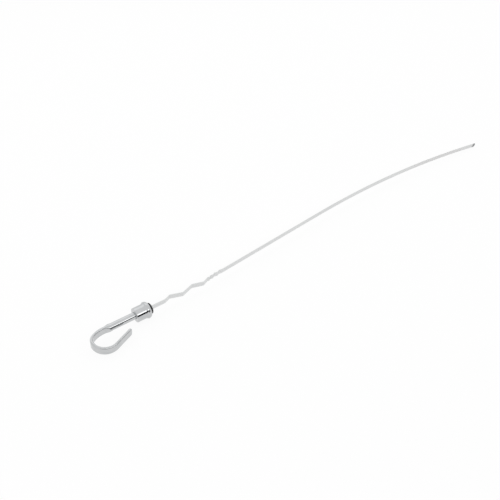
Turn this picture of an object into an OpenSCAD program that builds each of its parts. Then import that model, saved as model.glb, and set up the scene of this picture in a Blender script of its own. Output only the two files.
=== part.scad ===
// Engine oil dipstick with a hook handle, a stopper cap, a sealing ring and a formed steel blade.
// Each piece is drawn along the stick's own axis, with the cap's seat at x = 0, the blade
// towards +X and the hook's free leg on the -Y side. The finished stick is then laid on the
// plane z = 0 as it comes to rest: on the cap's collar, the hook's free leg and the blade's tip.

/* [Handle] */
// Diameter of the round shank
shank_d = 7; // [6:0.5:8]
// Straight length of the shank and neck behind the cap
shank_len = 32.2; // [26:0.2:45]
// Length of the neck, where the shank runs out into the flat strip
neck_len = 5.5; // [4:0.5:8]
// Length over which the round shank widens to the strip's width
taper_len = 8.8; // [6:0.1:14]
// Width of the flattened strip
strip_w = 9.2; // [7.5:0.1:12]
// Thickness of the flattened strip
strip_t = 2.6; // [2:0.1:3.5]
// Radius of the gentle first bend of the hook
bend_1_r = 22; // [15:1:30]
// Angle of the first bend
bend_1_angle = 30; // [20:1:40]
// Radius of the tight second bend of the hook
bend_2_r = 7; // [5:0.5:10]
// Angle of the second bend
bend_2_angle = 63; // [50:1:70]
// Radius of the wide third bend of the hook
bend_3_r = 13; // [9:0.5:16]
// Angle of the third bend
bend_3_angle = 109; // [95:1:120]
// Straight length of the hook's free leg
leg_len = 19.5; // [10:0.5:24]
// Corner radius of the free leg's end
leg_corner_r = 2.6; // [1:0.1:3.4]
// Diameter of the tenon that passes through the cap's spigot
tenon_d = 4.6; // [4:0.1:5]
// Depth of the sawn slot in the tenon, past the blade's tang
slot_spare = 0.5; // [0.2:0.1:2]

/* [Cap] */
// Diameter of the cap's body
cap_d = 14.5; // [12:0.1:18]
// Length of the cap from its end face to its seat
cap_len = 15.2; // [14:0.1:24]
// Radius of the rounded edge at the end face
cap_edge_r = 0.6; // [0.2:0.1:1.5]
// Diameter of the collar
collar_d = 16.8; // [16.6:0.1:22]
// Length of the concave flare between body and collar
flare_len = 3; // [2:0.1:5]
// Length of the collar's plain land
collar_land = 0.6; // [0.3:0.1:2]
// Length of the rounded lip between collar and seat
lip_len = 3.3; // [3:0.1:3.6]
// How far the rounded lip falls in from the collar to the seat
lip_drop = 2.4; // [2:0.1:2.5]
// Depth of the socket that takes the shank
socket_depth = 10.5; // [6:0.5:12]
// Radial clearance of the shank and tenon in the cap
press_gap = 0.02; // [0:0.01:0.1]

/* [Spigot and seal] */
// Outer diameter of the sealing ring
seal_d = 10.8; // [10.2:0.1:11.2]
// Thickness of the sealing ring's round section
seal_t = 1.9; // [1.7:0.1:2]
// Clearance between the ring and its groove
seal_gap = 0.05; // [0.02:0.01:0.2]
// Radial clearance of the ring in the recess of the cap's seat
recess_gap = 0.1; // [0.05:0.05:0.2]
// Depth of the recess in the cap's seat
recess_depth = 0.2; // [0.1:0.1:0.6]
// Diameter of the spigot's nose, which keeps the ring on
nose_d = 8; // [7.8:0.1:9]
// Length of the spigot's nose
nose_len = 0.9; // [0.8:0.1:3]
// Radius of the nose's rounded edge
nose_edge_r = 0.4; // [0.2:0.1:0.6]

/* [Blade] */
// Width of the blade, which stands on edge
blade_w = 6; // [4.6:0.1:7]
// Thickness of the blade
blade_t = 0.5; // [0.4:0.1:1.2]
// Width of the tang in the tenon's slot
tang_w = 3.4; // [2.8:0.1:3.8]
// Length of the tang
tang_len = 7; // [4:0.5:8]
// Plain length of the blade between the tenon and the first bend
root_run = 14.8; // [8:0.1:18]
// Centreline radius of each formed bend
form_r = 1.2; // [1:0.1:1.5]
// Angle of the joggled runs to the stick's axis
joggle_angle = 17.5; // [10:0.5:20]
// Angle by which the first and last joggled runs are steeper and the return run is flatter
joggle_trim = 2; // [0:0.5:4]
// Length of the first joggled run
lead_run = 7; // [5:0.1:10]
// Length of each of the two full joggled runs
joggle_run = 13.4; // [11:0.1:18]
// Length of the return run after them
return_run = 12.6; // [9:0.1:16]
// Length of the last joggled run, before the crimps
exit_run = 7.6; // [6:0.1:12]
// Length of the short step down to the crimps
step_run = 1.8; // [1.6:0.1:4]
// Angle of a crimp's steep side
crimp_angle = 36; // [25:1:40]
// Length of a crimp's steep side
crimp_rise_len = 2.2; // [2:0.1:3]
// Angle of a crimp's long side
crimp_back_angle = 9; // [4:1:12]
// Length of the first crimp's long side
crimp_back_1 = 3.2; // [3:0.1:6]
// Length of the second crimp's long side
crimp_back_2 = 4.7; // [3:0.1:6]
// Length of the third crimp's long side
crimp_back_3 = 3.7; // [3:0.1:6]
// Angle at which the plain blade leaves the crimps
drift_angle = 5.2; // [4:0.1:7]
// Length of the plain straight blade
plain_run = 151; // [120:1:200]
// Radius of the blade's long bow
bow_r = 1500; // [1200:10:2000]
// Length of the bowed blade
bow_len = 313; // [230:1:340]
// Length of the straight end behind the tip
tip_run = 6; // [4:0.5:10]
// Corner radius of the tip
tip_corner_r = 2.3; // [0.8:0.1:2.3]
// Radius of the gauge nicks in the blade's lower edge
nick_r = 0.7; // [0.4:0.1:1.2]
// Place of the first gauge nick along the plain blade
nick_1 = 9; // [6:1:20]
// Distance from the first gauge nick to the second
nick_step_1 = 40; // [20:1:50]
// Distance from the second gauge nick to the third
nick_step_2 = 66; // [30:1:80]

/* [Hidden] */
$fn = 96;

// A direction is an angle from +X. A line is a list of stations, each [place, direction].
function unit(a) = [cos(a), sin(a)];
function left(a) = [-sin(a), cos(a)];
// Stations along an arc that leaves start in the direction a and turns by an angle, to the left
// for a positive radius and angle and to the right for negative ones.
function arc(start, a, radius, angle, steps, first = 0) = [for (k = [first : steps])
    let (b = a + angle * k / steps) [start + radius * (left(a) - left(b)), b]];
function side_line(line, shift) = [for (s = line) s[0] + shift * left(s[1])];
function reversed(list) = [for (k = [len(list) - 1 : -1 : 0]) list[k]];
// Outline of a strip of the given thickness along a line
function strip_outline(line, thickness) =
    concat(side_line(line, thickness / 2), reversed(side_line(line, -thickness / 2)));
// Overlap that joins the pieces of one solid
lap = 0.01;
// How far a cut reaches past what it cuts
over = 1;

// Handle: the strip's centreline leaves the neck along -X and bends round to the -Y side.
shank_r = shank_d / 2;
neck_r = sqrt(pow(strip_w / 2, 2) + pow(strip_t / 2, 2));
scoop_depth = shank_r - strip_t / 2;
scoop_r = (pow(neck_len, 2) + pow(scoop_depth, 2)) / (2 * scoop_depth);
hook_start = -cap_len - shank_len;
neck_end = hook_start + taper_len;
hook_bends = [[bend_1_r, bend_1_angle], [bend_2_r, bend_2_angle], [bend_3_r, bend_3_angle]];
hook_step = 3;
function heading(n) = n == 0 ? 180 : heading(n - 1) + hook_bends[n - 1][1];
function joint(n) = n == 0 ? [hook_start, 0]
    : joint(n - 1) + hook_bends[n - 1][0] * (left(heading(n - 1)) - left(heading(n)));
leg_dir = heading(3);
leg_end = joint(3) + leg_len * unit(leg_dir);
hook_line = concat(
    [[[hook_start + lap, 0], 180]],
    [for (n = [0 : 2]) let (radius = hook_bends[n][0], angle = hook_bends[n][1])
        each arc(joint(n), heading(n), radius, angle, ceil(angle / hook_step), sign(n))],
    [[leg_end, leg_dir]]);
hook_outside = side_line(hook_line, -strip_t / 2);
leg_side = min([for (p = hook_outside) p[1]]);
leg_x = [for (p = hook_outside) if (p[1] == leg_side) p[0]][0];
back_x = min([for (p = hook_outside) p[0]]);

// Cap and spigot
cap_r = cap_d / 2;
collar_r = collar_d / 2;
flare_rise = collar_r - cap_r;
flare_r = (pow(flare_len, 2) + pow(flare_rise, 2)) / (2 * flare_rise);
lip_r = (pow(lip_len, 2) + pow(lip_drop, 2)) / (2 * lip_drop);
land_start = -lip_len - collar_land;
flare_start = land_start - flare_len;
groove_r = seal_d / 2 - seal_t - seal_gap;
groove_len = seal_t + 2 * seal_gap;
groove_start = -recess_depth;
recess_r = seal_d / 2 + recess_gap;
nose_r = nose_d / 2;
nose_start = groove_start + groove_len;
spigot_len = nose_start + nose_len;
tenon_r = tenon_d / 2;
shank_end = -cap_len + socket_depth;

// Blade: each run is [direction, length], and a bend of radius form_r joins it to the next.
crimps = [for (back_len = [crimp_back_1, crimp_back_2, crimp_back_3])
    each [[crimp_angle, crimp_rise_len], [-crimp_back_angle, back_len]]];
runs = concat(
    [[0, root_run]],
    [[joggle_angle + joggle_trim, lead_run], [-joggle_angle, joggle_run]],
    [[joggle_angle, joggle_run], [joggle_trim - joggle_angle, return_run]],
    [[joggle_angle + 2 * joggle_trim, exit_run], [-joggle_angle - 2 * joggle_trim, step_run]],
    crimps,
    [[drift_angle, plain_run]]);
run_count = len(runs);
function corner(n) = n == 0 ? [spigot_len, 0] : corner(n - 1) + runs[n - 1][1] * unit(runs[n - 1][0]);
plain_start = corner(run_count - 1);
bow_start = corner(run_count);
bow_angle = bow_len / bow_r * 180 / PI;
end_angle = drift_angle - bow_angle;
bow_end = bow_start - bow_r * (left(drift_angle) - left(end_angle));
tip = bow_end + tip_run * unit(end_angle);
bend_steps = 5;
bow_steps = 48;
function bend(n) = let (a = runs[n - 1][0], turn = runs[n][0] - a)
    arc(corner(n) - form_r * tan(abs(turn) / 2) * unit(a), a, sign(turn) * form_r, turn, bend_steps);
blade_line = concat(
    [[[spigot_len, 0], 0]],
    [for (n = [1 : run_count - 1]) each bend(n)],
    arc(bow_start, drift_angle, -bow_r, -bow_angle, bow_steps),
    [[tip, end_angle]]);
bow_side = max([for (p = side_line(blade_line, blade_t / 2)) p[1]]);

// Rest: the stick rolls onto the free leg, and its axis falls from the collar to the tip.
land_x = -lip_len;
function pitch_for(r) = atan((collar_r + tip[1] * sin(r) - blade_w / 2 * cos(r) - blade_t / 2 * sin(r))
    / (tip[0] - tip_corner_r - land_x));
function roll_for(p) = asin((collar_r + (land_x - leg_x) * tan(p)) / norm([leg_side, strip_w / 2]))
    - atan(strip_w / 2 / -leg_side);
roll = roll_for(pitch_for(roll_for(pitch_for(0))));
pitch = pitch_for(roll);
lift = collar_r * cos(pitch) + land_x * sin(pitch);
side_low = leg_side * cos(roll) - strip_w / 2 * sin(roll);
side_high = bow_side * cos(roll) + blade_w / 2 * sin(roll);
mid = [(back_x + tip[0]) / 2 * cos(pitch), (side_low + side_high) / 2];

// Set a piece down as the stick lies at rest, with the middle of its footprint at the origin.
module laid() {
    translate([-mid[0], -mid[1], lift]) rotate([0, pitch, 0]) rotate([roll, 0, 0]) children();
}

// Turn a profile of [radius, place along the axis] about the stick's axis.
module turned() {
    rotate([0, 90, 0]) rotate_extrude() children();
}

// What is cut off the two corners of a strip's end. The end is at the origin and faces +X.
module end_corners(width, radius, thickness) {
    rotate([90, 0, 0]) linear_extrude(4 * thickness, center = true) for (side = [-1, 1])
        translate([-radius, side * (width / 2 - radius)]) difference() {
            translate([0, (side - 1) * radius]) square(2 * radius);
            circle(r = radius);
        }
}

// The neck: the shank widens to the strip's width while two round scoops thin it to the strip.
module neck() {
    intersection() {
        turned() polygon([
            [0, hook_start], [neck_r, hook_start], [shank_r, neck_end], [0, neck_end]]);
        translate([0, 0, -strip_w / 2]) linear_extrude(strip_w) difference() {
            translate([hook_start, -strip_w / 2]) square([taper_len, strip_w]);
            for (side = [-1, 1])
                translate([hook_start, side * (strip_t / 2 + scoop_r)]) circle(r = scoop_r);
        }
    }
}

module hook() {
    difference() {
        translate([0, 0, -strip_w / 2]) linear_extrude(strip_w)
            polygon(strip_outline(hook_line, strip_t));
        translate(concat(leg_end, [0])) rotate([0, 0, leg_dir])
            end_corners(strip_w, leg_corner_r, strip_t);
    }
}

// The round shank reaches into the cap, and its slotted tenon ends flush with the spigot's nose.
module shank() {
    difference() {
        turned() {
            translate([0, neck_end - lap]) square([shank_r, shank_end - neck_end + lap]);
            translate([0, shank_end - over]) square([tenon_r, spigot_len - shank_end + over]);
        }
        translate([spigot_len - tang_len - slot_spare, -blade_t / 2, -tenon_d])
            cube([tang_len + slot_spare + over, blade_t, 2 * tenon_d]);
    }
}

module handle() {
    color("gainsboro") laid() union() {
        shank();
        neck();
        hook();
    }
}

// Half section of the cap without its bores, as [radius, place along the axis].
module cap_profile() {
    translate([0, -cap_len]) square([cap_r - cap_edge_r, cap_edge_r]);
    translate([cap_r - cap_edge_r, cap_edge_r - cap_len]) intersection() {
        circle(r = cap_edge_r);
        translate([0, -cap_edge_r]) square(cap_edge_r);
    }
    translate([0, cap_edge_r - cap_len]) square([cap_r, cap_len - cap_edge_r + flare_start]);
    difference() {
        translate([0, flare_start]) square([collar_r, flare_len]);
        translate([cap_r + flare_r, flare_start]) circle(r = flare_r);
    }
    translate([0, land_start]) square([collar_r, collar_land]);
    translate([0, land_x]) square([collar_r - lip_r, lip_len]);
    translate([collar_r - lip_r, land_x]) intersection() {
        circle(r = lip_r);
        square([lip_r, lip_len]);
    }
    square([groove_r, nose_start]);
    translate([0, nose_start]) square([nose_r, nose_len - nose_edge_r]);
    translate([0, spigot_len - nose_edge_r]) square([nose_r - nose_edge_r, nose_edge_r]);
    translate([nose_r - nose_edge_r, spigot_len - nose_edge_r]) intersection() {
        circle(r = nose_edge_r);
        square(nose_edge_r);
    }
}

module cap() {
    color("gainsboro") laid() difference() {
        turned() cap_profile();
        turned() translate([0, -cap_len - over]) square([shank_r + press_gap, socket_depth + over]);
        turned() translate([0, -cap_len]) square([tenon_r + press_gap, cap_len + spigot_len + over]);
        turned() translate([groove_r, groove_start]) square([recess_r - groove_r, recess_depth]);
    }
}

module seal() {
    color([0.08, 0.08, 0.08]) laid() turned()
        translate([(seal_d - seal_t) / 2, groove_start + groove_len / 2]) circle(r = seal_t / 2);
}

module nicks() {
    for (place = [nick_1, nick_1 + nick_step_1, nick_1 + nick_step_1 + nick_step_2])
        translate(concat(plain_start, [-blade_w / 2])) rotate([0, 0, drift_angle])
            translate([place, 0, 0]) rotate([90, 0, 0])
                cylinder(r = nick_r, h = 4 * blade_t, center = true);
}

module blade() {
    color([0.76, 0.77, 0.78]) laid() difference() {
        union() {
            translate([spigot_len - tang_len, -blade_t / 2, -tang_w / 2])
                cube([tang_len + lap, blade_t, tang_w]);
            translate([0, 0, -blade_w / 2]) linear_extrude(blade_w)
                polygon(strip_outline(blade_line, blade_t));
        }
        translate(concat(tip, [0])) rotate([0, 0, end_angle])
            end_corners(blade_w, tip_corner_r, blade_t);
        nicks();
    }
}

handle();
cap();
seal();
blade();
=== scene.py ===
import math

import bmesh
import bpy
from mathutils import Matrix, Vector


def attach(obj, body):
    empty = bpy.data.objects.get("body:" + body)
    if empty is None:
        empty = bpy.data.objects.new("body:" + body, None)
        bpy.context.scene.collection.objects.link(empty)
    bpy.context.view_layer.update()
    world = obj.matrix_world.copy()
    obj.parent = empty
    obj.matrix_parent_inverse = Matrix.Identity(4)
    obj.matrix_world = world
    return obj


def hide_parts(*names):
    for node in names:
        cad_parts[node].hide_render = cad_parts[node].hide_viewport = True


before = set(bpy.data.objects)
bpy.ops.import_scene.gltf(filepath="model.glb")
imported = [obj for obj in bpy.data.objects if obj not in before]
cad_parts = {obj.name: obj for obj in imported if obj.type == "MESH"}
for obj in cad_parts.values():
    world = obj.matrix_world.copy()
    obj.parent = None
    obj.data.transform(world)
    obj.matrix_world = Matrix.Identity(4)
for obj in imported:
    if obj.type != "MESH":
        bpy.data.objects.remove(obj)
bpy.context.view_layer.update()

MM = 0.001

# How the stick lies on the floor, in degrees and millimetres, as in the part's source
STICK_ROLL, STICK_PITCH = 11.3134, 0.79635
STICK_MID_X, STICK_MID_Y, STICK_LIFT = 246.418, -0.0210642, 8.35332

# Turned cap and its spigot, in millimetres along the stick's own axis from the seat
CAP_LENGTH, CAP_RADIUS, CAP_EDGE = 15.2, 7.25, 0.6
SHANK_RADIUS, SOCKET_RADIUS, SOCKET_EDGE = 3.5, 3.52, 0.25
COLLAR_RADIUS, COLLAR_LAND, FLARE_LENGTH, LIP_LENGTH, LIP_DROP = 8.4, 0.6, 3.0, 3.3, 2.4
RECESS_RADIUS, RECESS_DEPTH = 5.5, 0.2
GROOVE_RADIUS, NOSE_RADIUS, NOSE_EDGE = 3.45, 4.0, 0.4
NOSE_START, SPIGOT_END = 2.0, 2.7
TENON_RADIUS, SOCKET_DEPTH = 2.32, 10.5
SEAL_RADIUS, SEAL_SECTION, SEAL_PLACE = 5.6, 1.05, 0.9

# Forged handle and the blade's tang, in millimetres and degrees
SHANK_LENGTH, NECK_LENGTH, TAPER_LENGTH = 32.2, 5.5, 8.8
STRIP_WIDTH, STRIP_THICKNESS, EDGE_RADIUS = 9.2, 2.6, 1.1
HOOK_BENDS = [(22, 30), (7, 63), (13, 109)]
LEG_LENGTH, LEG_CORNER = 19.5, 2.6
LEG_THINNING = 0.9
BLADE_THICKNESS, TANG_LENGTH, SLOT_SPARE = 0.5, 7.0, 0.5

# The blade's blasted zone, which is also painted a lighter grey as a painted reflection, and its
# dark tip, and how softly they begin, in metres from the middle
ZONE_START, ZONE_END, ZONE_FADE = 0.176, 0.281, 0.003
TIP_START, TIP_FADE = 0.303, 0.004

# Share of the table that is plain white. The rest takes the shadow.
WHITE_SHARE = 0.92
ROOM_LEVEL = 0.9

# The black card's width, height and place, in metres
CARD_WIDTH, CARD_HEIGHT, CARD_X, CARD_Y = 2.2, 0.34, -0.45, -0.7

# The camera's sensor in millimetres, and its focal length and frame in pixels
SENSOR, FOCAL_PIXELS, FRAME_PIXELS = 36, 532.52, 500


# Small helpers

def stick_matrix():
    """From the stick's own axis, in millimetres, to where it lies, in metres."""
    return (Matrix.Scale(MM, 4)
            @ Matrix.Translation((-STICK_MID_X, -STICK_MID_Y, STICK_LIFT))
            @ Matrix.Rotation(math.radians(STICK_PITCH), 4, "Y")
            @ Matrix.Rotation(math.radians(STICK_ROLL), 4, "X"))


def deselect():
    if bpy.context.object and bpy.context.object.mode != "OBJECT":
        bpy.ops.object.mode_set(mode="OBJECT")
    bpy.ops.object.select_all(action="DESELECT")


def pick(obj):
    deselect()
    obj.select_set(True)
    bpy.context.view_layer.objects.active = obj


def settle(obj, matrix):
    """Lay a piece down with the stick and write its place into its mesh."""
    pick(obj)
    obj.matrix_world = matrix @ obj.matrix_world
    bpy.ops.object.transform_apply(location=True, rotation=True, scale=True)
    bpy.ops.object.mode_set(mode="EDIT")
    bpy.ops.mesh.select_all(action="SELECT")
    bpy.ops.mesh.normals_make_consistent(inside=False)
    bpy.ops.object.mode_set(mode="OBJECT")


def apply_modifiers(obj):
    pick(obj)
    for modifier in list(obj.modifiers):
        bpy.ops.object.modifier_apply(modifier=modifier.name)


def select_edges(obj, test):
    """In edit mode, select the edges whose two ends and two faces pass a test."""
    bpy.ops.mesh.select_mode(type="EDGE")
    bpy.ops.mesh.select_all(action="DESELECT")
    mesh = bmesh.from_edit_mesh(obj.data)
    for edge in mesh.edges:
        edge.select = bool(test(edge))
    bmesh.update_edit_mesh(obj.data)


# Materials

def srgb(code):
    """A colour written as sRGB hex, as the linear values that the shader takes."""
    parts = [int(code[i:i + 2], 16) / 255 for i in (0, 2, 4)]
    return tuple(c / 12.92 if c <= 0.04045 else ((c + 0.055) / 1.055) ** 2.4 for c in parts) + (1,)


def add(tree, kind, settings=None, links=None):
    """Add a node. Settings name its properties or inputs, and links name its inputs."""
    node = tree.nodes.new(kind)
    for key, value in (settings or {}).items():
        if isinstance(key, str) and hasattr(node, key):
            setattr(node, key, value)
        else:
            node.inputs[key].default_value = value
    for key, socket in (links or {}).items():
        tree.links.new(socket, node.inputs[key])
    return node


def new_material(name):
    material = bpy.data.materials.new(name)
    material.use_nodes = True
    material.node_tree.nodes.clear()
    return material, material.node_tree


def close(tree, shader):
    add(tree, "ShaderNodeOutputMaterial", links={"Surface": shader.outputs[0]})


def ramp(tree, socket, stops):
    node = add(tree, "ShaderNodeValToRGB", links={0: socket})
    points = node.color_ramp.elements
    while len(points) < len(stops):
        points.new(0.5)
    for point, (place, code) in zip(points, stops):
        point.position = place
        point.color = srgb(code)
    return node


def chromium_plate():
    """Bright nickel and chromium plate over a polished steel forging. It mirrors the room in a
    slightly blue grey, and the polishing wheel leaves a faint haze and shallow waves."""
    material, tree = new_material("chromium_plate_on_polished_steel")
    place = add(tree, "ShaderNodeTexCoord")
    # Haze left by the polishing wheel, in patches about 6 mm across
    haze = add(tree, "ShaderNodeTexNoise", {"Scale": 160, "Detail": 3, "Roughness": 0.55},
               {"Vector": place.outputs["Object"]})
    rough = add(tree, "ShaderNodeMapRange",
                {"From Min": 0.3, "From Max": 0.7, "To Min": 0.07, "To Max": 0.13},
                {"Value": haze.outputs[0]})
    tint = ramp(tree, haze.outputs[0], [(0.3, "BDBFC0"), (0.7, "C9CACB")])
    # Shallow waves of the hand-polished forging, about 4 mm long and a few microns deep
    wave = add(tree, "ShaderNodeTexNoise", {"Scale": 250, "Detail": 1},
               {"Vector": place.outputs["Object"]})
    bump = add(tree, "ShaderNodeBump", {"Strength": 0.03, "Distance": 0.00006},
               {"Height": wave.outputs[0]})
    shader = add(tree, "ShaderNodeBsdfPrincipled", {"Metallic": 1.0},
                 {"Base Color": tint.outputs[0], "Roughness": rough.outputs[0],
                  "Normal": bump.outputs[0]})
    close(tree, shader)
    return material


def spring_steel():
    """Cold-rolled spring steel strip with a satin finish. Rolling leaves fine lines along the
    strip, and the measuring zone near the tip is blasted matt and pitted to hold the oil. That zone
    is also painted a lighter grey, which is a painted reflection."""
    material, tree = new_material("cold_rolled_spring_steel_strip")
    place = add(tree, "ShaderNodeTexCoord")
    # Rolling lines 0.3 mm apart, drawn 40 mm long
    lines = add(tree, "ShaderNodeMapping", {"Scale": (0.025, 3.3, 3.3)},
                {"Vector": place.outputs["Object"]})
    grain = add(tree, "ShaderNodeTexNoise", {"Scale": 1000, "Detail": 2},
                {"Vector": lines.outputs[0]})
    # The blasted zone, which is also painted a lighter grey as a painted reflection
    along = add(tree, "ShaderNodeSeparateXYZ", links={0: place.outputs["Object"]})
    begins = add(tree, "ShaderNodeMapRange",
                 {"From Min": ZONE_START, "From Max": ZONE_START + ZONE_FADE},
                 {"Value": along.outputs["X"]})
    ends = add(tree, "ShaderNodeMapRange", {"From Min": ZONE_END, "From Max": ZONE_END - ZONE_FADE},
               {"Value": along.outputs["X"]})
    zone = add(tree, "ShaderNodeMath", {"operation": "MULTIPLY"},
               {0: begins.outputs[0], 1: ends.outputs[0]})
    # Blasting grit pits, 0.25 mm across
    grit = add(tree, "ShaderNodeTexNoise", {"Scale": 4000, "Detail": 2},
               {"Vector": place.outputs["Object"]})
    steel = ramp(tree, grain.outputs[0], [(0.3, "D3D4D4"), (0.7, "DFE0E0")])
    # The zone's lighter grey is a painted reflection
    matt = ramp(tree, grit.outputs[0], [(0.3, "D8D8D8"), (0.7, "E8E8E8")])
    sheet = add(tree, "ShaderNodeMix", {"data_type": "RGBA"},
                {0: zone.outputs[0], 6: steel.outputs[0], 7: matt.outputs[0]})
    # The last few millimetres of the tip are darker
    tip = add(tree, "ShaderNodeMapRange",
              {"From Min": TIP_START, "From Max": TIP_START + TIP_FADE, "To Max": 0.8},
              {"Value": along.outputs["X"]})
    tint = add(tree, "ShaderNodeMix", {"data_type": "RGBA", 7: srgb("5A5B5C")},
               {0: tip.outputs[0], 6: sheet.outputs[2]})
    rough = add(tree, "ShaderNodeMapRange", {"To Min": 0.3, "To Max": 0.55},
                {"Value": zone.outputs[0]})
    height = add(tree, "ShaderNodeMix", {"data_type": "FLOAT"},
                 {0: zone.outputs[0], 2: grain.outputs[0], 3: grit.outputs[0]})
    bump = add(tree, "ShaderNodeBump", {"Strength": 0.3, "Distance": 0.00004},
               {"Height": height.outputs[0]})
    shader = add(tree, "ShaderNodeBsdfPrincipled", {"Metallic": 1.0},
                 {"Base Color": tint.outputs[2], "Roughness": rough.outputs[0],
                  "Normal": bump.outputs[0]})
    close(tree, shader)
    return material


def nitrile_rubber():
    """Moulded nitrile rubber. Black from its carbon filler, with a dull sheen and a fine pitted
    skin from the mould."""
    material, tree = new_material("moulded_nitrile_rubber")
    place = add(tree, "ShaderNodeTexCoord")
    # Mould texture, 0.3 mm across
    skin = add(tree, "ShaderNodeTexNoise", {"Scale": 3300, "Detail": 3},
               {"Vector": place.outputs["Object"]})
    tint = ramp(tree, skin.outputs[0], [(0.3, "131314"), (0.7, "1E1E1F")])
    rough = add(tree, "ShaderNodeMapRange", {"To Min": 0.42, "To Max": 0.6},
                {"Value": skin.outputs[0]})
    bump = add(tree, "ShaderNodeBump", {"Strength": 0.4, "Distance": 0.00005},
               {"Height": skin.outputs[0]})
    shader = add(tree, "ShaderNodeBsdfPrincipled", {"IOR": 1.52},
                 {"Base Color": tint.outputs[0], "Roughness": rough.outputs[0],
                  "Normal": bump.outputs[0]})
    close(tree, shader)
    return material


def dress(obj, material):
    obj.data.materials.clear()
    obj.data.materials.append(material)


# Pieces

def bar_section(phi, half_width, half_thickness, softness, rolled):
    """A point on the cross-section of the bar, as (across, up), in millimetres. The section goes
    from a round bar pressed between two flats to a strip with rolled edges."""
    flat = min(half_thickness, half_width)
    angle = math.atan2(flat * math.sin(phi), half_width * math.cos(phi))
    across, up = abs(math.sin(angle)), abs(math.cos(angle))
    pressed = ((1 / half_width) ** softness
               + (across / half_thickness) ** softness) ** (-1 / softness)
    corner = min(EDGE_RADIUS, 0.95 * flat)
    core_x, core_y = flat - corner, half_width - corner
    if across * half_width > up * flat and flat / across * up <= core_y:
        strip = flat / across
    elif up * flat >= across * half_width and half_width / up * across <= core_x:
        strip = half_width / up
    else:
        middle = across * core_x + up * core_y
        strip = middle + math.sqrt(middle ** 2 - core_x ** 2 - core_y ** 2 + corner ** 2)
    reach = pressed + (strip - pressed) * rolled
    return reach * math.sin(angle), reach * math.cos(angle)


def bar_stations():
    """Where the bar's cross-sections stand, from the tenon's end to the hook's tip, each as
    (x, y, heading, half width, half thickness, softness, rolled), in millimetres and degrees."""
    round_bar = 1000.0
    shoulder = -CAP_LENGTH + SOCKET_DEPTH
    stations = [(SPIGOT_END, 0, 180, TENON_RADIUS - 0.02, round_bar, 8, 0),
                (shoulder + 0.001, 0, 180, TENON_RADIUS - 0.02, round_bar, 8, 0),
                (shoulder, 0, 180, TENON_RADIUS - 0.015, round_bar, 8, 0),
                (shoulder, 0, 180, SHANK_RADIUS - 0.01, round_bar, 8, 0),
                (shoulder - 0.001, 0, 180, SHANK_RADIUS, round_bar, 8, 0)]
    start = -CAP_LENGTH - SHANK_LENGTH
    stations += [(start + TAPER_LENGTH + gap, 0, 180, SHANK_RADIUS, round_bar, 8, 0)
                 for gap in (20, 10, 2)]
    # The neck, where the round bar widens and two round scoops thin it to the strip
    depth = SHANK_RADIUS - STRIP_THICKNESS / 2
    scoop = (NECK_LENGTH ** 2 + depth ** 2) / (2 * depth)
    steps = 28
    for i in range(steps, 0, -1):
        run = TAPER_LENGTH * i / steps
        wide = STRIP_WIDTH / 2 + (SHANK_RADIUS - STRIP_WIDTH / 2) * i / steps
        if run < scoop:
            thin = STRIP_THICKNESS / 2 + scoop - math.sqrt(scoop ** 2 - run ** 2)
        else:
            thin = round_bar
        stations.append((start + run, 0, 180, wide, thin, 3 + 1.2 * run, max(0, 1 - run / 3)))
    # The three bends of the hook, then its free leg
    x, y, heading = start, 0, 180
    strip = (STRIP_WIDTH / 2, STRIP_THICKNESS / 2, 4, 1)
    for radius, angle in HOOK_BENDS:
        steps = math.ceil(angle / 3)
        for i in range(steps):
            turned = heading + angle * i / steps
            stations.append((x + radius * (side(heading)[0] - side(turned)[0]),
                             y + radius * (side(heading)[1] - side(turned)[1]), turned, *strip))
        x += radius * (side(heading)[0] - side(heading + angle)[0])
        y += radius * (side(heading)[1] - side(heading + angle)[1])
        heading += angle
    ahead = (math.cos(math.radians(heading)), math.sin(math.radians(heading)))
    for i in range(5):
        run = (LEG_LENGTH - LEG_CORNER) * i / 4
        stations.append((x + run * ahead[0], y + run * ahead[1], heading, *strip))
    # The rounded end of the leg
    steps = 12
    for i in range(1, steps + 1):
        turned = math.radians(90 * i / steps)
        past = LEG_CORNER * math.sin(turned)
        narrow = STRIP_WIDTH / 2 - LEG_CORNER * (1 - math.cos(turned))
        worn = STRIP_THICKNESS / 2 - LEG_THINNING * max(0, 1 - math.cos(turned) - 0.1)
        run = LEG_LENGTH - LEG_CORNER + past
        stations.append((x + run * ahead[0], y + run * ahead[1], heading, narrow, worn, 4, 1))
    return stations


def side(heading):
    """The direction to the left of a heading in degrees."""
    return -math.sin(math.radians(heading)), math.cos(math.radians(heading))


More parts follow.
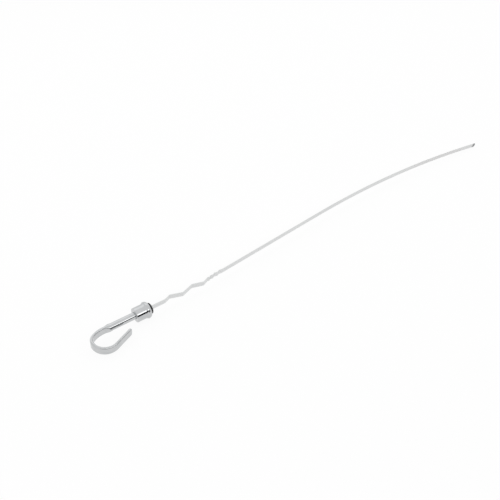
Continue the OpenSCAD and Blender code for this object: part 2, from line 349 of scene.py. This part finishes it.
def forged_handle():
    """The handle, drawn out of one ring of points: a tenon and a round shank, which is flattened
    into a strip and bent into the hook. Forging leaves the strip's edges crowned."""
    deselect()
    bpy.ops.mesh.primitive_circle_add(vertices=96, radius=1)
    piece = bpy.context.object
    piece.name = piece.data.name = "forged_handle"
    bpy.ops.object.mode_set(mode="EDIT")
    mesh = bmesh.from_edit_mesh(piece.data)
    turn = mesh.verts.layers.float.new("turn")
    for vertex in mesh.verts:
        vertex[turn] = math.atan2(vertex.co.y, vertex.co.x)
    bmesh.update_edit_mesh(piece.data)
    bpy.ops.mesh.select_all(action="SELECT")
    for count, (x, y, heading, *shape) in enumerate(bar_stations()):
        if count:
            bpy.ops.mesh.extrude_edges_move()
        mesh = bmesh.from_edit_mesh(piece.data)
        turn = mesh.verts.layers.float["turn"]
        left = side(heading)
        for vertex in mesh.verts:
            if vertex.select:
                across, up = bar_section(vertex[turn], *shape)
                vertex.co = (x + left[0] * across, y + left[1] * across, up)
        bmesh.update_edit_mesh(piece.data)
        if count == 0:
            bpy.ops.mesh.duplicate()
            bpy.ops.mesh.edge_face_add()
            bpy.ops.mesh.select_all(action="DESELECT")
            mesh = bmesh.from_edit_mesh(piece.data)
            for edge in mesh.edges:
                edge.select = not edge.link_faces
            bmesh.update_edit_mesh(piece.data)
    bpy.ops.mesh.edge_face_add()
    bpy.ops.mesh.select_all(action="SELECT")
    bpy.ops.mesh.remove_doubles(threshold=0.0002)
    bpy.ops.object.mode_set(mode="OBJECT")
    cut_slot(piece)
    settle(piece, stick_matrix())
    bpy.ops.object.shade_smooth_by_angle(angle=math.radians(38))
    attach(piece, "root")
    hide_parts("handle")
    return piece


def cut_slot(piece):
    """Saw the slot that the blade's tang sits in."""
    deselect()
    low = SPIGOT_END - TANG_LENGTH - SLOT_SPARE
    bpy.ops.mesh.primitive_cube_add(size=1, location=((low + SPIGOT_END + 1) / 2, 0, 0),
                                    scale=(SPIGOT_END + 1 - low, BLADE_THICKNESS, 8))
    saw = bpy.context.object
    cut = piece.modifiers.new("slot", "BOOLEAN")
    cut.operation, cut.object, cut.solver = "DIFFERENCE", saw, "EXACT"
    apply_modifiers(piece)
    bpy.data.objects.remove(saw)


def turned_cap():
    """The stopper cap, spun from its half section as on a lathe, with a broken edge at each
    corner that the plate would otherwise burn on."""
    collar = -LIP_LENGTH - COLLAR_LAND
    lip = (LIP_LENGTH ** 2 + LIP_DROP ** 2) / (2 * LIP_DROP)
    lip_end = 90 - math.degrees(math.asin(LIP_LENGTH / lip))
    rise = COLLAR_RADIUS - CAP_RADIUS
    flare = (FLARE_LENGTH ** 2 + rise ** 2) / (2 * rise)
    turn = math.asin(FLARE_LENGTH / flare)

    def bow(x, r, radius, start, end, steps):
        """Points on a round corner about (x, r), from one angle to the other."""
        return [(x + radius * math.cos(math.radians(start + (end - start) * i / steps)),
                 r + radius * math.sin(math.radians(start + (end - start) * i / steps)))
                for i in range(steps + 1)]

    section = [(-CAP_LENGTH + SOCKET_DEPTH, TENON_RADIUS),
               (-CAP_LENGTH + SOCKET_DEPTH, SOCKET_RADIUS)]
    section += bow(-CAP_LENGTH + SOCKET_EDGE, SOCKET_RADIUS + SOCKET_EDGE, SOCKET_EDGE, 270, 180, 3)
    section += bow(-CAP_LENGTH + CAP_EDGE, CAP_RADIUS - CAP_EDGE, CAP_EDGE, 180, 90, 6)
    section += [(collar - FLARE_LENGTH + flare * math.sin(turn * i / 12),
                 CAP_RADIUS + flare * (1 - math.cos(turn * i / 12))) for i in range(13)]
    section += bow(-LIP_LENGTH, COLLAR_RADIUS - lip, lip, 90, lip_end, 14)
    section += [(0, RECESS_RADIUS), (-RECESS_DEPTH, RECESS_RADIUS), (-RECESS_DEPTH, GROOVE_RADIUS),
                (NOSE_START, GROOVE_RADIUS), (NOSE_START, NOSE_RADIUS)]
    section += bow(SPIGOT_END - NOSE_EDGE, NOSE_RADIUS - NOSE_EDGE, NOSE_EDGE, 90, 0, 6)
    section += [(SPIGOT_END, TENON_RADIUS)]
    deselect()
    bpy.ops.mesh.primitive_circle_add(vertices=len(section), radius=1)
    piece = bpy.context.object
    piece.name = piece.data.name = "turned_cap"
    for vertex, (x, r) in zip(piece.data.vertices, section):
        vertex.co = (x, 0, r)
    bpy.ops.object.mode_set(mode="EDIT")
    bpy.ops.mesh.select_all(action="SELECT")
    bpy.ops.mesh.spin(steps=128, angle=2 * math.pi, center=(0, 0, 0), axis=(1, 0, 0))
    bpy.ops.mesh.select_all(action="SELECT")
    bpy.ops.mesh.remove_doubles(threshold=0.002)
    bpy.ops.object.mode_set(mode="OBJECT")
    settle(piece, stick_matrix())
    bpy.ops.object.shade_smooth_by_angle(angle=math.radians(28))
    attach(piece, "root")
    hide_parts("cap")
    return piece


def moulded_seal():
    """The sealing ring, with the thin flash line that the two halves of its mould leave."""
    deselect()
    bpy.ops.mesh.primitive_torus_add(
        major_segments=96, minor_segments=32, major_radius=SEAL_RADIUS - SEAL_SECTION,
        minor_radius=SEAL_SECTION, location=(SEAL_PLACE, 0, 0), rotation=(0, math.pi / 2, 0))
    piece = bpy.context.object
    piece.name = piece.data.name = "moulded_seal"
    bpy.ops.object.mode_set(mode="EDIT")
    reach = SEAL_RADIUS - 0.001
    select_edges(piece, lambda edge: all(v.co.xy.length > reach and abs(v.co.z) < 0.001
                                         for v in edge.verts))
    bpy.ops.mesh.bevel(offset=0.05, segments=2)
    bpy.ops.object.mode_set(mode="OBJECT")
    settle(piece, stick_matrix())
    bpy.ops.object.shade_smooth_by_angle(angle=math.radians(40))
    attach(piece, "root")
    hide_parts("seal")
    return piece


plate = chromium_plate()
steel = spring_steel()
rubber = nitrile_rubber()
dress(forged_handle(), plate)
dress(turned_cap(), plate)
dress(moulded_seal(), rubber)
dress(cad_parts["blade"], steel)


# Studio

def studio_floor():
    """A plain white table. It shows white to the camera and in the chrome, and keeps a soft
    shadow under the stick."""
    deselect()
    bpy.ops.mesh.primitive_plane_add(size=6, location=(0, 0, 0))
    floor = bpy.context.object
    floor.name = floor.data.name = "studio_floor"
    material, tree = new_material("matt_white_table")
    rays = add(tree, "ShaderNodeLightPath")
    seen = add(tree, "ShaderNodeMath", {"operation": "MAXIMUM"},
               {0: rays.outputs["Is Camera Ray"], 1: rays.outputs["Is Glossy Ray"]})
    share = add(tree, "ShaderNodeMath", {"operation": "MULTIPLY", 1: WHITE_SHARE},
                {0: seen.outputs[0]})
    matt = add(tree, "ShaderNodeBsdfDiffuse", {"Color": srgb("FBFBFB")})
    white = add(tree, "ShaderNodeEmission", {"Strength": 1.0})
    mix = add(tree, "ShaderNodeMixShader",
              links={0: share.outputs[0], 1: matt.outputs[0], 2: white.outputs[0]})
    close(tree, mix)
    floor.data.materials.append(material)


def studio_world():
    """A plain white room, which the camera and the polished metal both see as white."""
    world = bpy.data.worlds.new("white_room")
    bpy.context.scene.world = world
    world.use_nodes = True
    tree = world.node_tree
    tree.nodes.clear()
    rays = add(tree, "ShaderNodeLightPath")
    seen = add(tree, "ShaderNodeMath", {"operation": "MAXIMUM"},
               {0: rays.outputs["Is Camera Ray"], 1: rays.outputs["Is Glossy Ray"]})
    colour = add(tree, "ShaderNodeMix",
                 {"data_type": "RGBA", 6: (ROOM_LEVEL,) * 3 + (1,), 7: (1, 1, 1, 1)},
                 {0: seen.outputs[0]})
    back = add(tree, "ShaderNodeBackground", {"Strength": 1.0}, {"Color": colour.outputs[2]})
    add(tree, "ShaderNodeOutputWorld", links={"Surface": back.outputs[0]})


def black_card():
    """A black card stands on the camera's side of the table, as is set up for polished metal. The
    chrome mirrors it as a dark line. The camera doesn't see it when it goes round the stick."""
    deselect()
    bpy.ops.mesh.primitive_plane_add(size=1, location=(CARD_X, CARD_Y, CARD_HEIGHT / 2),
                                     rotation=(math.pi / 2, 0, 0))
    card = bpy.context.object
    card.name = card.data.name = "black_card"
    card.scale = (CARD_WIDTH, CARD_HEIGHT, 1)
    bpy.ops.object.transform_apply(location=True, rotation=True, scale=True)
    material, tree = new_material("matt_black_card")
    close(tree, add(tree, "ShaderNodeBsdfDiffuse", {"Color": srgb("1A1A1A")}))
    card.data.materials.append(material)
    card.visible_camera = False


def softbox(name, place, aim, size, power):
    deselect()
    bpy.ops.object.light_add(type="AREA", location=place)
    lamp = bpy.context.object
    lamp.name = lamp.data.name = name
    lamp.data.shape = "RECTANGLE"
    lamp.data.size, lamp.data.size_y = size
    lamp.data.energy = power
    lamp.rotation_euler = (Vector(aim) - Vector(place)).to_track_quat("-Z", "Y").to_euler()


def photograph_camera():
    """Stands where the photograph appears to be taken from, 359 mm above the table."""
    heading = math.radians(-38.4395)
    tilt = math.radians(37.4354)
    data = bpy.data.cameras.new("camera")
    camera = bpy.data.objects.new("camera", data)
    bpy.context.scene.collection.objects.link(camera)
    data.sensor_width = SENSOR
    data.lens = SENSOR * FOCAL_PIXELS / FRAME_PIXELS
    data.clip_start, data.clip_end = 0.01, 20
    turn = Matrix.Rotation(heading, 4, "Z")
    camera.matrix_world = (turn @ Matrix.Translation((-0.097394, -0.519726, 0.358951))
                           @ Matrix.Rotation(math.pi / 2 - tilt, 4, "X"))
    bpy.context.scene.camera = camera


studio_floor()
studio_world()
black_card()
softbox("key_softbox", (-0.1, -0.9, 0.6), (-0.1, 0, 0), (1.2, 0.3), 1.5)
softbox("fill_softbox", (0.1, 0.7, 0.8), (0, 0, 0), (1.6, 0.8), 1)
photograph_camera()
bpy.context.scene.view_settings.view_transform = "Standard"
